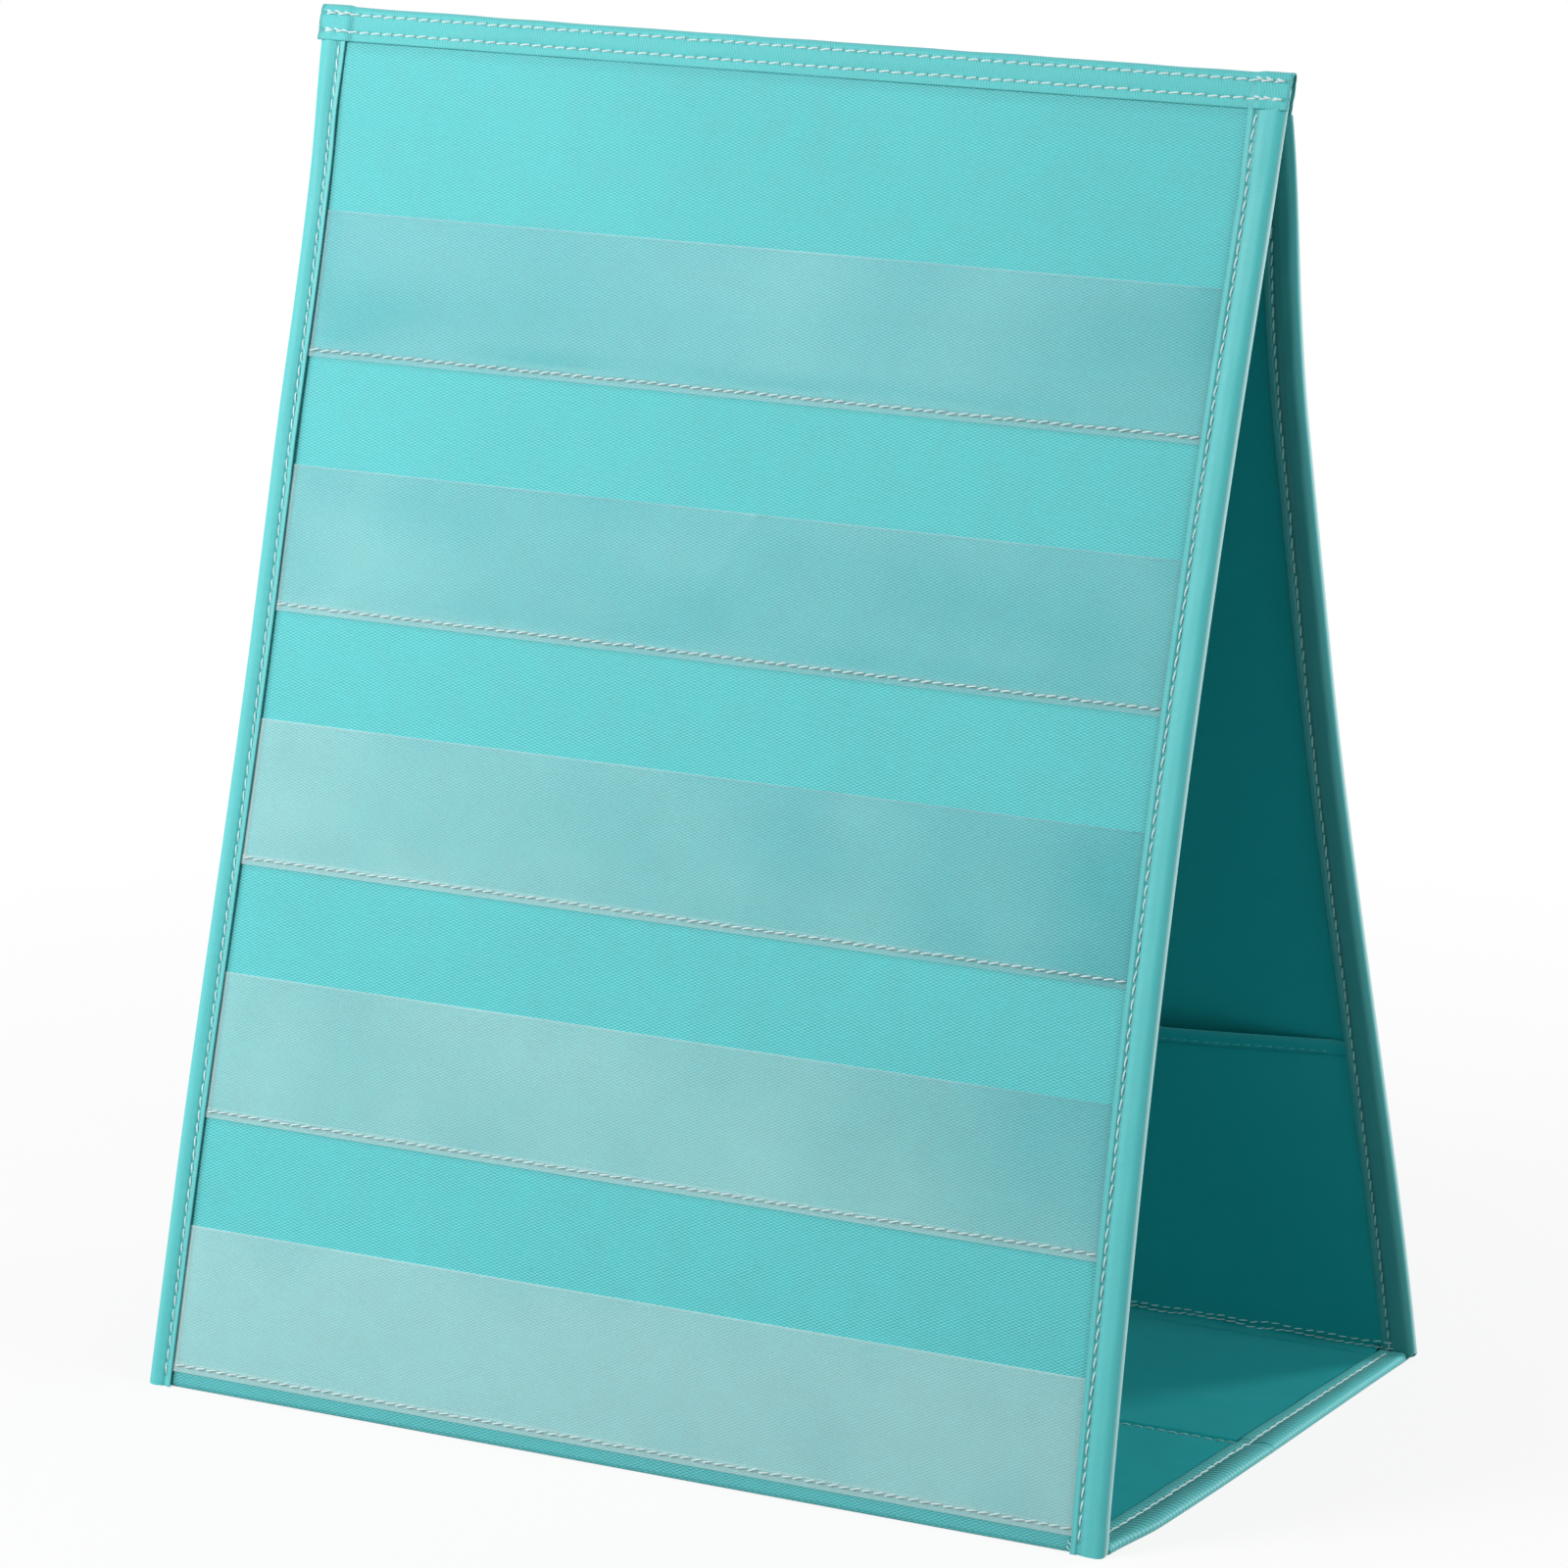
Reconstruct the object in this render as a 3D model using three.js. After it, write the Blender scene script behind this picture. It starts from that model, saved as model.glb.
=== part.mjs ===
// Tabletop pocket chart: two cloth-covered boards that stand as an A-frame on a folding base.
// Millimetres. The origin is the middle of the footprint, X runs along the width,
// the front panel faces -Y and Z points up.

import * as THREE from 'three';

// Overall size
const chartWidth = 320;
const frontPanelLength = 416;
const baseDepth = 210;

// Layers of a covered board
const boardThickness = 1.2;
const fabricThickness = 0.35;
const bindingThickness = 0.35;
const layerGap = 0.3;

// Sewn edges
const panelBindingWidth = 9;
const baseBindingWidth = 8;
const topBandHeight = 10.5;
const boardInset = 5;
const boardTopInset = 14;
const bindingArcSteps = 6;

// Cloth hinges
const hingeRunout = 0.3;
const panelFootLift = 2.2;
const footCornerRadius = 1.1;
const hingeStripThickness = 0.5;
const midStripWidth = 6;
const midBoardGap = 3;
const midSplit = 0.4;
const rearTopDrop = 1.5;

// Clear film pockets
const pocketCount = 5;
const firstSeamDrop = 103;
const lastSeamRise = 7;
const filmHeight = 42;
const filmHem = 2;
const filmThickness = 0.25;

// Storage pocket on the inner face of the rear panel
const storageWidth = 293;
const storageHeight = 104;
const storageFoot = 6;
const storageMouthBulge = 9;
const storageColumns = 24;
const storageRows = 8;
const storageFlatteningPower = 4;

// Worked out from the sizes above
const halfWidth = chartWidth / 2;
const halfDepth = baseDepth / 2;
const coreThickness = boardThickness + 2 * (layerGap + fabricThickness);
const skinDepth = bindingThickness + layerGap;
const panelThickness = coreThickness + 2 * skinDepth;
const baseThickness = coreThickness + skinDepth;
const pivotDepth = panelThickness + layerGap / 2;
const pivotHeight = baseThickness + layerGap / 2;
const panelCoreHalfWidth = halfWidth - panelThickness / 2;
const baseCoreHalfWidth = halfWidth - baseThickness / 2;
const frontLean = Math.asin(halfDepth / frontPanelLength);
const pocketPitch = (frontPanelLength - firstSeamDrop - lastSeamRise) / (pocketCount - 1);

// The apex hinge line lies just below the top band, on the inner side of the front panel
const apexDrop = topBandHeight + rearTopDrop;
const apexSlant = frontPanelLength - apexDrop;
const apex = new THREE.Vector2(
  -halfDepth + apexSlant * Math.sin(frontLean) + pivotDepth * Math.cos(frontLean),
  apexSlant * Math.cos(frontLean) - pivotDepth * Math.sin(frontLean),
);

// The rear panel leans so that its inner face passes through the apex
const apexFromRearFoot = apex.clone().sub(new THREE.Vector2(halfDepth, 0));
const rearLean = Math.atan2(-apexFromRearFoot.x, apexFromRearFoot.y)
  - Math.asin(pivotDepth / apexFromRearFoot.length());
const rearPanelLength = apexFromRearFoot.length() * Math.cos(Math.asin(pivotDepth / apexFromRearFoot.length()));

// Finishes
const twill = new THREE.MeshStandardMaterial({ color: 0x5fc4c6, roughness: 0.85, metalness: 0 });
const lining = new THREE.MeshStandardMaterial({ color: 0x3fa9ab, roughness: 0.8, metalness: 0 });
const binding = new THREE.MeshStandardMaterial({ color: 0x62cccb, roughness: 0.75, metalness: 0 });
const film = new THREE.MeshStandardMaterial({
  color: 0xa9dadb, roughness: 0.15, metalness: 0, transparent: true, opacity: 0.45,
});
const board = new THREE.MeshStandardMaterial({ color: 0x8d8f8a, roughness: 0.9, metalness: 0 });

// Adds a named piece to a group
function addPiece(group, name, geometry, material) {
  const mesh = new THREE.Mesh(geometry, material);
  mesh.name = name;
  group.add(mesh);
  return mesh;
}

// A flat layer, width along X, height along Z, thickness from depth towards +Y
function layer(width, height, thickness, depth, bottom) {
  const geometry = new THREE.BoxGeometry(width, thickness, height);
  geometry.translate(0, depth + thickness / 2, bottom + height / 2);
  return geometry;
}

// Outline of a folded strip: an edge band with a round outer end, seen along its run.
// It reaches `reach` along +X from the open side, and its legs lie at y = 0 and y = thickness.
function bandShape(reach, thickness) {
  const shape = new THREE.Shape();
  const outerRadius = thickness / 2;
  const innerRadius = outerRadius - bindingThickness;
  const bend = reach - outerRadius;
  shape.moveTo(0, 0);
  shape.lineTo(bend, 0);
  shape.absarc(bend, outerRadius, outerRadius, -Math.PI / 2, Math.PI / 2, false);
  shape.lineTo(0, thickness);
  shape.lineTo(0, thickness - bindingThickness);
  shape.lineTo(bend, thickness - bindingThickness);
  shape.absarc(bend, outerRadius, innerRadius, Math.PI / 2, -Math.PI / 2, true);
  shape.lineTo(0, bindingThickness);
  shape.closePath();
  return shape;
}

// A side binding that runs along Z from bottom to top, at +X for side 1 and at -X for side -1
function sideBinding(side, width, thickness, bottom, top) {
  const geometry = new THREE.ExtrudeGeometry(bandShape(width, thickness), {
    depth: top - bottom, bevelEnabled: false, curveSegments: bindingArcSteps,
  });
  geometry.translate(halfWidth - width, 0, bottom);
  if (side < 0) {
    geometry.rotateZ(Math.PI);
    geometry.translate(0, thickness, 0);
  }
  return geometry;
}

// The top band runs along X over the upper edge of the front panel
function topBand() {
  const geometry = new THREE.ExtrudeGeometry(bandShape(topBandHeight, panelThickness), {
    depth: chartWidth, bevelEnabled: false, curveSegments: bindingArcSteps,
  });
  geometry.rotateY(-Math.PI / 2);
  geometry.translate(halfWidth, 0, frontPanelLength - topBandHeight);
  return geometry;
}

// The layers of one upright panel in its own frame: outer face at y = 0, inner face at y = panelThickness.
// leftSide is -1 where the panel's own X runs with the chart's, and 1 where it runs against it.
function addPanel(group, prefix, leftSide, coreTop, bindingTop, boardTop) {
  const coreWidth = 2 * panelCoreHalfWidth;
  const coreHeight = coreTop - panelFootLift;
  const faceDepth = skinDepth;
  const boardDepth = faceDepth + fabricThickness + layerGap;
  const liningDepth = boardDepth + boardThickness + layerGap;
  const boardBottom = panelFootLift + boardInset;
  addPiece(group, `${prefix}_face_fabric`,
    layer(coreWidth, coreHeight, fabricThickness, faceDepth, panelFootLift), twill);
  addPiece(group, `${prefix}_board`,
    layer(coreWidth - 2 * boardInset, boardTop - boardBottom, boardThickness, boardDepth, boardBottom), board);
  addPiece(group, `${prefix}_lining`,
    layer(coreWidth, coreHeight, fabricThickness, liningDepth, panelFootLift), lining);
  addPiece(group, `${prefix}_left_binding`,
    sideBinding(leftSide, panelBindingWidth, panelThickness, panelFootLift, bindingTop), binding);
  addPiece(group, `${prefix}_right_binding`,
    sideBinding(-leftSide, panelBindingWidth, panelThickness, panelFootLift, bindingTop), binding);
  const filmWidth = chartWidth - 2 * (panelBindingWidth + layerGap);
  for (let i = 0; i < pocketCount; i += 1) {
    const seam = frontPanelLength - firstSeamDrop - i * pocketPitch;
    addPiece(group, `${prefix}_clear_pocket_${i + 1}`,
      layer(filmWidth, filmHeight + filmHem, filmThickness, 0, seam - filmHem), film);
  }
}

// One half of the base, from its inner split to the foot of a panel; side -1 is the front half.
// Its bottom cloth lies level with the underside of the bindings, between them.
function addBaseHalf(group, prefix, side, footY) {
  const near = midSplit / 2;
  const far = Math.abs(footY);
  const coreWidth = 2 * baseCoreHalfWidth;
  const bottomWidth = chartWidth - 2 * (baseBindingWidth + layerGap);
  const strip = (name, start, end, width, thickness, height, material) => {
    const geometry = new THREE.BoxGeometry(width, end - start, thickness);
    geometry.translate(0, side * (start + end) / 2, height + thickness / 2);
    addPiece(group, name, geometry, material);
  };
  const boardHeight = fabricThickness + layerGap;
  const topHeight = boardHeight + boardThickness + layerGap;
  const topStart = midStripWidth / 2 + layerGap;
  strip(`${prefix}_bottom_fabric`, near, far, bottomWidth, fabricThickness, 0, twill);
  strip(`${prefix}_board`, midBoardGap / 2, far - boardInset, coreWidth - 2 * boardInset,
    boardThickness, boardHeight, board);
  strip(`${prefix}_top_fabric`, topStart, far, coreWidth, fabricThickness, topHeight, lining);
  for (const [label, end] of [['left', -1], ['right', 1]]) {
    const geometry = sideBinding(end, baseBindingWidth, baseThickness, near, far);
    geometry.rotateX(-side * Math.PI / 2);
    if (side > 0) {
      geometry.translate(0, 0, baseThickness);
    }
    addPiece(group, `${prefix}_${label}_binding`, geometry, binding);
  }
}

// Cloth under the foot of a panel, from its face to the base; side -1 is at the front
function footStrip(side, lean, footY) {
  const faceLine = (height) => side * (halfDepth - skinDepth / Math.cos(lean) - height * Math.tan(lean));
  const innerLine = (height) => faceLine(height) - side * hingeStripThickness / Math.cos(lean);
  const top = (panelFootLift - hingeRunout) * Math.cos(lean) - skinDepth * Math.sin(lean);
  const shape = new THREE.Shape();
  shape.moveTo(footY + side * hingeRunout, 0);
  shape.lineTo(faceLine(0) - side * footCornerRadius, 0);
  shape.quadraticCurveTo(faceLine(0), 0, faceLine(footCornerRadius), footCornerRadius);
  shape.lineTo(faceLine(top), top);
  shape.lineTo(innerLine(top), top);
  shape.lineTo(innerLine(footCornerRadius), footCornerRadius);
  shape.lineTo(innerLine(hingeStripThickness) - side * hingeStripThickness, hingeStripThickness);
  shape.lineTo(footY + side * hingeRunout, hingeStripThickness);
  shape.closePath();
  const geometry = new THREE.ExtrudeGeometry(shape, {
    depth: 2 * panelCoreHalfWidth, bevelEnabled: false, curveSegments: bindingArcSteps,
  });
  geometry.rotateX(Math.PI / 2);
  geometry.rotateZ(Math.PI / 2);
  geometry.translate(-panelCoreHalfWidth, 0, 0);
  return geometry;
}

// A closed thin sheet from a grid of points on its lower side and the same points lifted by a thickness
function gridSheet(columns, rows, pointAt, thicknessVector) {
  const positions = [];
  const indices = [];
  for (let face = 0; face < 2; face += 1) {
    for (let j = 0; j <= rows; j += 1) {
      for (let i = 0; i <= columns; i += 1) {
        const point = pointAt(i / columns, j / rows).addScaledVector(thicknessVector, face);
        positions.push(point.x, point.y, point.z);
      }
    }
  }
  const index = (face, i, j) => face * (columns + 1) * (rows + 1) + j * (columns + 1) + i;
  const quad = (a, b, c, d) => indices.push(a, b, c, a, c, d);
  for (let j = 0; j < rows; j += 1) {
    for (let i = 0; i < columns; i += 1) {
      quad(index(0, i, j), index(0, i + 1, j), index(0, i + 1, j + 1), index(0, i, j + 1));
      quad(index(1, i, j), index(1, i, j + 1), index(1, i + 1, j + 1), index(1, i + 1, j));
    }
  }
  for (let i = 0; i < columns; i += 1) {
    quad(index(0, i, 0), index(1, i, 0), index(1, i + 1, 0), index(0, i + 1, 0));
    quad(index(0, i + 1, rows), index(1, i + 1, rows), index(1, i, rows), index(0, i, rows));
  }
  for (let j = 0; j < rows; j += 1) {
    quad(index(0, 0, j + 1), index(1, 0, j + 1), index(1, 0, j), index(0, 0, j));
    quad(index(0, columns, j), index(1, columns, j), index(1, columns, j + 1), index(0, columns, j + 1));
  }
  const geometry = new THREE.BufferGeometry();
  geometry.setAttribute('position', new THREE.Float32BufferAttribute(positions, 3));
  geometry.setIndex(indices);
  geometry.computeVertexNormals();
  return geometry;
}

// The storage pocket stands off the lining: flat at its foot and sides, widest at the middle of its mouth
function storageSheet() {
  const liningFace = skinDepth + coreThickness + layerGap;
  const pointAt = (u, v) => {
    const across = 2 * u - 1;
    const crown = 1 - Math.abs(across) ** storageFlatteningPower;
    return new THREE.Vector3(
      across * storageWidth / 2,
      liningFace + storageMouthBulge * v * crown,
      storageFoot + storageHeight * v,
    );
  };
  return gridSheet(storageColumns, storageRows, pointAt, new THREE.Vector3(0, fabricThickness, 0));
}

// Front panel, leaning back from the front edge of the footprint
const frontPanel = new THREE.Group();
frontPanel.position.y = -halfDepth;
frontPanel.rotation.x = -frontLean;
const frontCoreTop = frontPanelLength - panelThickness / 2;
const frontBindingTop = frontPanelLength - topBandHeight - layerGap;
addPanel(frontPanel, 'front', -1, frontCoreTop, frontBindingTop, frontPanelLength - boardTopInset);
addPiece(frontPanel, 'top_binding', topBand(), binding);

// Rear panel, turned to face the other way
const rearPanel = new THREE.Group();
rearPanel.position.y = halfDepth;
rearPanel.rotation.set(rearLean, 0, 0);
const rearFacing = new THREE.Group();
rearFacing.rotation.z = Math.PI;
rearPanel.add(rearFacing);
const rearTop = rearPanelLength - hingeRunout;
addPanel(rearFacing, 'rear', 1, rearTop, rearTop, rearTop - boardInset);
addPiece(rearFacing, 'storage_pocket', storageSheet(), lining);

// Base halves, each from the fold line to just inside the foot of its panel
const pivotInset = (lean) => (pivotDepth + pivotHeight * Math.sin(lean)) / Math.cos(lean);
const frontFootY = -(halfDepth - pivotInset(frontLean) - layerGap / 2);
const rearFootY = halfDepth - pivotInset(rearLean) - layerGap / 2;
const baseFront = new THREE.Group();
addBaseHalf(baseFront, 'base_front', -1, frontFootY);
const baseRear = new THREE.Group();
addBaseHalf(baseRear, 'base_rear', 1, rearFootY);

// Cloth hinges
const hinges = new THREE.Group();
addPiece(hinges, 'front_hinge_strip', footStrip(-1, frontLean, frontFootY), twill);
addPiece(hinges, 'rear_hinge_strip', footStrip(1, rearLean, rearFootY), twill);
const midStrip = new THREE.BoxGeometry(2 * baseCoreHalfWidth, midStripWidth, fabricThickness);
midStrip.translate(0, 0, coreThickness - fabricThickness / 2);
addPiece(hinges, 'mid_hinge_strip', midStrip, lining);

const pocketChart = new THREE.Group();
pocketChart.add(frontPanel, rearPanel, baseFront, baseRear, hinges);

export default pocketChart;
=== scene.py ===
"""Tabletop pocket chart: two cloth-covered boards that stand as an A-frame on a folding base.

Lengths are millimetres until they go into a mesh. X runs along the width, the front panel
faces -Y and Z points up. On a panel, s runs up from its foot and n is the depth from its
outer face. On an edge binding, q is the distance in from the outer edge.
"""

import math

import bmesh
import bpy
import numpy as np
from mathutils import Matrix, Vector


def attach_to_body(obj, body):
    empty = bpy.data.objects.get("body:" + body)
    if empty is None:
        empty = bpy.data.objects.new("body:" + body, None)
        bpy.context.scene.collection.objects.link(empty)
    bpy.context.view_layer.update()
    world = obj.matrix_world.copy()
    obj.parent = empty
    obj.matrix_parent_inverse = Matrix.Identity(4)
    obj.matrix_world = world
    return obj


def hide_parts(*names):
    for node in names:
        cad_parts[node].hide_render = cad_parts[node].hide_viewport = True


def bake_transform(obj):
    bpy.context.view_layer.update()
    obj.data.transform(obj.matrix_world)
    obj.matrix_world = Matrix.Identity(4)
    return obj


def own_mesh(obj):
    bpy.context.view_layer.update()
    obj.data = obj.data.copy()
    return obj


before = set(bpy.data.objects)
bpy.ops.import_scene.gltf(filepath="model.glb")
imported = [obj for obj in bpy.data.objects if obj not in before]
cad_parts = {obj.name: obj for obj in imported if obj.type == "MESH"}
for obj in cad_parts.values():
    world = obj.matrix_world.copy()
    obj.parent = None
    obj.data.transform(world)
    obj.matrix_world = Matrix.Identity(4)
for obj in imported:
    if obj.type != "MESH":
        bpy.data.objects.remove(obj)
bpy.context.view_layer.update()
MM = 0.001
WHITE = (1, 1, 1, 1)

# Chart
WIDTH = 320.0
FRONT_LENGTH = 416.0
BASE_DEPTH = 210.0
HALF = WIDTH / 2
HALF_DEPTH = BASE_DEPTH / 2
PANEL_THICKNESS = 3.8
BASE_THICKNESS = 3.15
PIVOT_DEPTH = 3.95
TOP_BAND_HEIGHT = 10.5
APEX_DROP = 12.0

# Layers, as depths from the outer face of a panel
CLOTH = 0.35
FACE_CLOTH_DEPTH = 0.65
BOARD_DEPTH = 1.3
BOARD = 1.2
LINING_DEPTH = 2.8
CORE_HALF = HALF - PANEL_THICKNESS / 2
BOARD_INSET = 5.0
BOARD_TOP_INSET = 14.0

# Film pockets
POCKETS = 5
FIRST_SEAM_DROP = 103.0
LAST_SEAM_RISE = 7.0
FILM_HEIGHT = 42.0
FILM_HEM = 2.0
PITCH = (FRONT_LENGTH - FIRST_SEAM_DROP - LAST_SEAM_RISE) / (POCKETS - 1)
SEAMS = [FRONT_LENGTH - FIRST_SEAM_DROP - PITCH * i for i in range(POCKETS)]

# Leans of the two panels, from the apex hinge line just below the top band
FRONT_LEAN = math.asin(HALF_DEPTH / FRONT_LENGTH)
APEX_SLANT = FRONT_LENGTH - APEX_DROP
APEX_Y = -HALF_DEPTH + APEX_SLANT * math.sin(FRONT_LEAN) + PIVOT_DEPTH * math.cos(FRONT_LEAN)
APEX_Z = APEX_SLANT * math.cos(FRONT_LEAN) - PIVOT_DEPTH * math.sin(FRONT_LEAN)
APEX_REACH = math.hypot(HALF_DEPTH - APEX_Y, APEX_Z)
REAR_LEAN = math.atan2(HALF_DEPTH - APEX_Y, APEX_Z) - math.asin(PIVOT_DEPTH / APEX_REACH)
REAR_LENGTH = math.sqrt(APEX_REACH**2 - PIVOT_DEPTH**2)


def smooth(low, high, value):
    """0 at low and below, 1 at high and above, with soft turns; low may be the larger one."""
    t = np.clip((value - low) / (high - low), 0, 1)
    return t * t * (3 - 2 * t)


def hump(value, centre, half_width):
    """1 at the centre, falling softly to 0 at half_width to either side."""
    t = np.clip(abs(value - centre) / half_width, 0, 1)
    return (1 - t * t) ** 2


def ripple(a, b, scale, seed, stretch=1.0):
    """Smooth seeded unevenness, about -1 to 1; its waves are about scale long, and stretched along b."""
    random = np.random.default_rng(seed)
    waves = 8
    total = np.zeros(np.broadcast(a, b).shape)
    for _ in range(waves):
        heading = random.uniform(0, math.tau)
        turns = math.tau / (scale * random.uniform(0.7, 1.6))
        phase = random.uniform(0, math.tau)
        total = total + np.sin((a * math.cos(heading) + b * math.sin(heading) / stretch) * turns + phase)
    return total / math.sqrt(waves)


def points_at(x, y, z):
    return np.stack(np.broadcast_arrays(x, y, z), -1)


def stations(start, end, step, centres=(), reach=1.0, fine=1.0):
    """Places from start to end, about step apart, and about fine apart within reach of the centres."""
    probe = np.linspace(start, end, 6001)
    density = np.full_like(probe, 1 / step)
    for centre in centres:
        near = smooth(reach, reach / 2, abs(probe - centre))
        density = np.maximum(density, near / fine)
    total = np.concatenate([[0], np.cumsum((density[1:] + density[:-1]) / 2 * np.diff(probe))])
    return np.interp(np.linspace(0, total[-1], math.ceil(total[-1]) + 1), total, probe)


class Panel:
    """One upright board: where a point at x, s, n lies once its drawn-in sides and its taper are in."""

    def __init__(self, prefix, inward, lean, length, taper_start, top_thickness, drawn_in):
        self.prefix = prefix
        self.body = f"{prefix}_panel"
        self.inward = inward
        self.lean = lean
        self.length = length
        self.taper_start = taper_start
        self.top_thickness = top_thickness
        self.drawn_in = drawn_in

    def place(self, x, s, n):
        taper = smooth(self.taper_start, self.length, s)
        share = 1 - (1 - self.top_thickness / PANEL_THICKNESS) * taper
        within = np.clip(n, 0, PANEL_THICKNESS)
        warp = WARP * ripple(x, s, 420, 5) * smooth(10, 120, s)
        depth = within * share + (n - within) + warp
        left, right = self.drawn_in(s)
        x = x + left + (right - left) * (x + HALF) / WIDTH
        y = self.inward * (s * math.sin(self.lean) + depth * math.cos(self.lean) - HALF_DEPTH)
        z = s * math.cos(self.lean) - depth * math.sin(self.lean)
        return points_at(x, y, z)

    def foot_slant(self, height, n):
        """The s at which depth n is at that height above the table."""
        return (height + n * math.sin(self.lean)) / math.cos(self.lean)


def front_sides(s):
    """How far the front panel's left and right edges lie to the right of a straight edge at s."""
    left = -0.6 + 2.2 * smooth(60, 240, s) + 0.8 * hump(s, 345, 60) - 1.2 * smooth(365, FRONT_LENGTH, s)
    right = -0.4 - 5.2 * np.sin(np.pi * np.clip(s / FRONT_LENGTH, 0, 1)) ** 0.9 * smooth(0, 12, s)
    return left, right


def rear_sides(s):
    """The same for the rear panel, whose right edge flares at the foot."""
    left = 2.0 * np.sin(np.pi * np.clip(s / REAR_LENGTH, 0, 1))
    right = 1.5 - 6.8 * smooth(0, 235, s) + 3.4 * smooth(310, REAR_LENGTH, s)
    return left, right


WARP = 0.5
FRONT = Panel("front", 1, FRONT_LEAN, FRONT_LENGTH, 370.0, 2.2, front_sides)
REAR = Panel("rear", -1, REAR_LEAN, REAR_LENGTH, 344.0, 1.6, rear_sides)


# Camera at the photograph's viewing angle
AZIMUTH = math.radians(29.168)
ELEVATION = math.radians(13.086)
ROLL = math.radians(0.18)
CAMERA_DISTANCE = 2105.13
CAMERA_LENS = 160.36
SENSOR = 36.0
AIM_RIGHT = -1.21
AIM_UP = 177.004
CLIP_START = 50.0
CLIP_END = 50000.0


def new_object(name, data):
    made = bpy.data.objects.new(name, data)
    bpy.context.scene.collection.objects.link(made)
    return made


def add_camera():
    turn = Matrix.Rotation(AZIMUTH, 3, "Z") @ Matrix.Rotation(math.pi / 2 - ELEVATION, 3, "X")
    place = Matrix.Translation(turn @ Vector((AIM_RIGHT, AIM_UP, CAMERA_DISTANCE)) * MM)
    camera = new_object("camera", bpy.data.cameras.new("camera"))
    camera.matrix_world = place @ (turn @ Matrix.Rotation(ROLL, 3, "Z")).to_4x4()
    camera.data.lens = CAMERA_LENS
    camera.data.sensor_width = SENSOR
    camera.data.sensor_fit = "HORIZONTAL"
    camera.data.clip_start = CLIP_START * MM
    camera.data.clip_end = CLIP_END * MM
    bpy.context.scene.camera = camera


add_camera()
bpy.context.scene.view_settings.view_transform = "Standard"


class Shader:
    """Builds the nodes of its owner, a material or the world. A socket given as an input is linked,
    anything else is set."""

    def __init__(self, owner):
        owner.use_nodes = True
        self.owner = owner
        self.tree = owner.node_tree
        self.tree.nodes.clear()

    def node(self, kind, inputs, **settings):
        made = self.tree.nodes.new("ShaderNode" + kind)
        for key, value in settings.items():
            setattr(made, key, value)
        for key, value in inputs.items():
            if isinstance(value, bpy.types.NodeSocket):
                self.tree.links.new(value, made.inputs[key])
            else:
                made.inputs[key].default_value = value
        return made

    def math(self, operation, first, second=0.0):
        return self.node("Math", {0: first, 1: second}, operation=operation).outputs[0]

    def ramp(self, value, low, high, start=0.0, end=1.0):
        """start where value is low, end where it is high, and even between."""
        limits = {"Value": value, "From Min": low, "From Max": high, "To Min": start, "To Max": end}
        return self.node("MapRange", limits).outputs["Result"]

    def mix(self, share, first, second):
        sockets = {0: share, 6: first, 7: second}
        return self.node("Mix", sockets, data_type="RGBA").outputs[2]

    def cloth_coordinates(self):
        return self.node("UVMap", {}, uv_map="cloth").outputs[0]

    def noise(self, vector, size, detail=2.0):
        """Unevenness about size millimetres across."""
        inputs = {"Vector": vector, "Scale": 1 / (size * MM), "Detail": detail}
        return self.node("TexNoise", inputs).outputs["Fac"]

    def lines(self, vector, degrees, spacing, distortion=0.0):
        """Parallel ridges spacing millimetres apart, turned by degrees."""
        rotation = (0, 0, math.radians(degrees))
        turned = self.node("Mapping", {"Vector": vector, "Rotation": rotation}).outputs[0]
        scale = math.tau / 20 / (spacing * MM)
        inputs = {"Vector": turned, "Scale": scale, "Distortion": distortion, "Detail": 1.0}
        return self.node("TexWave", inputs, wave_type="BANDS", bands_direction="X").outputs["Fac"]

    def bump(self, height, depth, strength=1.0):
        """The bump for a height field that is depth millimetres high."""
        inputs = {"Height": height, "Distance": depth * MM, "Strength": strength}
        return self.node("Bump", inputs).outputs["Normal"]

    def mark(self, name):
        """A number that the mesh carries at each of its points."""
        return self.node("Attribute", {}, attribute_name=name).outputs["Fac"]

    def toned(self, colour):
        """The colour, darker by the mesh's tone where that is negative, and paler where it is positive; the
        tone holds painted shade and painted highlights.
        """
        tone = self.mark("tone")
        factor = self.math("ADD", self.math("MINIMUM", tone, 0.0), 1.0)
        darker = self.node("VectorMath", {0: colour, "Scale": factor}, operation="SCALE").outputs[0]
        return self.mix(tone, darker, WHITE)

    def seen_directly(self):
        """1 for rays that show the background, seen or in a reflection or through something clear."""
        rays = self.node("LightPath", {}).outputs
        first = self.math("MAXIMUM", rays["Is Camera Ray"], rays["Is Glossy Ray"])
        return self.math("MAXIMUM", first, rays["Is Transmission Ray"])

    def finish(self, inputs):
        surface = self.node("BsdfPrincipled", inputs)
        self.node("OutputMaterial", {"Surface": surface.outputs[0]})
        return self.owner


def new_shader(name):
    return Shader(bpy.data.materials.new(name))


def shade(colour, factor):
    return tuple(min(1.0, channel * factor) for channel in colour) + (1.0,)


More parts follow.
